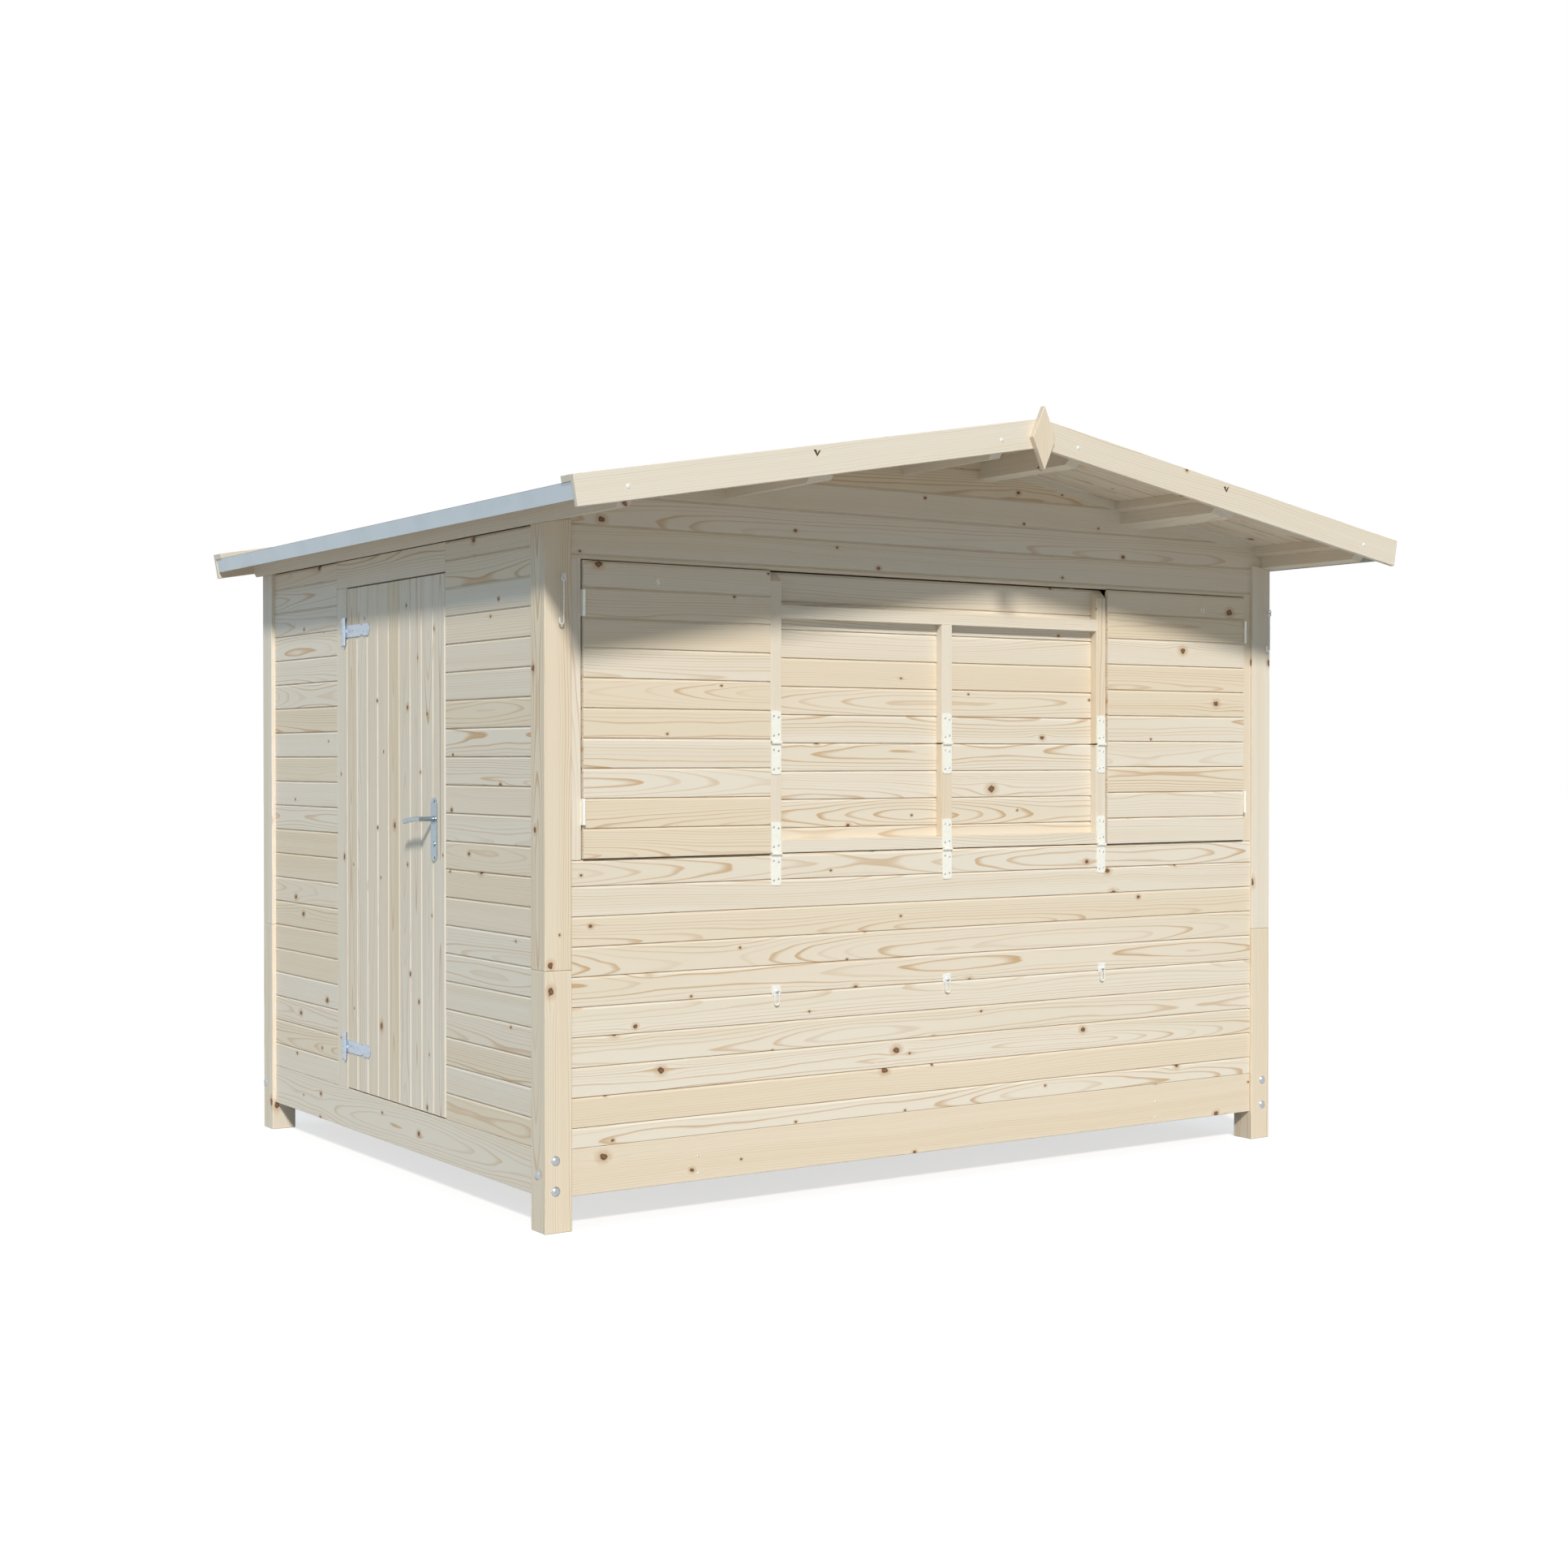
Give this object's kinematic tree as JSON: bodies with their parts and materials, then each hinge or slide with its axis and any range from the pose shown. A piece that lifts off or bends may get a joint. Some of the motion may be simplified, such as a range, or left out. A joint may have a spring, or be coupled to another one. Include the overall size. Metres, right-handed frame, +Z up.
{
  "type": "wooden market hut",
  "caption": "Timber sales hut with a shallow gable roof, side door, swing-open shutters and a folding counter panel with bracing leaf.",
  "frame": {"origin": "centre of the bounding box on the ground plane, under the middle of the roof", "axes": "+X along the front of the hut from the door side to the far side, -Y out of the front hatch, +Z up"},
  "size_m": [3.3204, 2.894, 2.509],
  "materials": {
    "spruce": "planed, untreated",
    "hinge_metal": "cream-white zinc plating",
    "handle_metal": "satin",
    "zinc": "bright zinc",
    "drip_metal": "grey-blue galvanised sheet",
    "felt": "mineral roofing felt"
  },
  "bodies": {
    "hut": {"post_front_left": "spruce", "post_front_right": "spruce", "post_back_left": "spruce", "post_back_right": "spruce", "base_boards": "spruce", "floor_joists": "spruce", "floor_deck": "spruce", "front_wall": "spruce", "front_strips": "spruce", "front_gable": "spruce", "back_wall": "spruce", "right_wall": "spruce", "left_wall_front": "spruce", "left_wall_rear": "spruce", "door_trim": "spruce", "door_frame": "spruce", "hatch_frame": "spruce", "ridge_purlins": "spruce", "mid_purlins": "spruce", "eave_purlins": "spruce", "roof_battens": "spruce", "gable_rails": "spruce", "roof_deck": "spruce", "roof_felt": "felt", "drip_edges": "drip_metal", "barge_boards": "spruce", "barge_caps": "spruce", "finial": "spruce", "door_hinge_leaves": "hinge_metal", "shutter_hinge_leaves": "hinge_metal", "sill_hinge_leaves": "hinge_metal", "staples": "zinc", "cabin_hooks": "zinc", "coach_bolts": "zinc"},
    "door": {"door": "spruce", "door_straps": "hinge_metal", "handle_plates": "handle_metal"},
    "lever": {"door_lever": "handle_metal"},
    "left_shutter": {"left_shutter": "spruce", "left_shutter_fittings": "hinge_metal"},
    "right_shutter": {"right_shutter": "spruce", "right_shutter_fittings": "hinge_metal"},
    "counter": {"counter_boards": "spruce", "counter_battens": "spruce", "counter_straps": "hinge_metal"},
    "brace": {"brace_boards": "spruce", "brace_battens": "spruce", "brace_straps": "hinge_metal"}
  },
  "joints": [
    {"name": "door_hinge", "type": "hinge", "parent": "hut", "child": "door", "pos_m": [-1.4965, 0.562, 1.1], "axis": [0, 0, -1], "range_deg": [0, 110]},
    {"name": "door_lever", "type": "hinge", "parent": "door", "child": "lever", "pos_m": [-1.491, -0.168, 1.208], "axis": [-1, 0, 0], "range_deg": [0, 40], "stiffness_Nm_per_rad": 1.5, "springref_deg": -11.46},
    {"name": "left_shutter_hinge", "type": "hinge", "parent": "hut", "child": "left_shutter", "pos_m": [-1.37485, -0.965, 1.5], "axis": [0, 0, -1], "range_deg": [0, 160]},
    {"name": "right_shutter_hinge", "type": "hinge", "parent": "hut", "child": "right_shutter", "pos_m": [1.37485, -0.965, 1.5], "axis": [0, 0, 1], "range_deg": [0, 160]},
    {"name": "counter_fold", "type": "hinge", "parent": "hut", "child": "counter", "pos_m": [0, -0.95725, 1.1035], "axis": [1, 0, 0], "range_deg": [0, 90]},
    {"name": "brace_fold", "type": "hinge", "parent": "counter", "child": "brace", "pos_m": [0, -0.95725, 1.4535], "axis": [1, 0, 0], "range_deg": [0, 134.2]}
  ],
  "couplings": [
    {"joint": "brace_fold", "follows": "counter_fold", "ratio": 1.485}
  ]
}
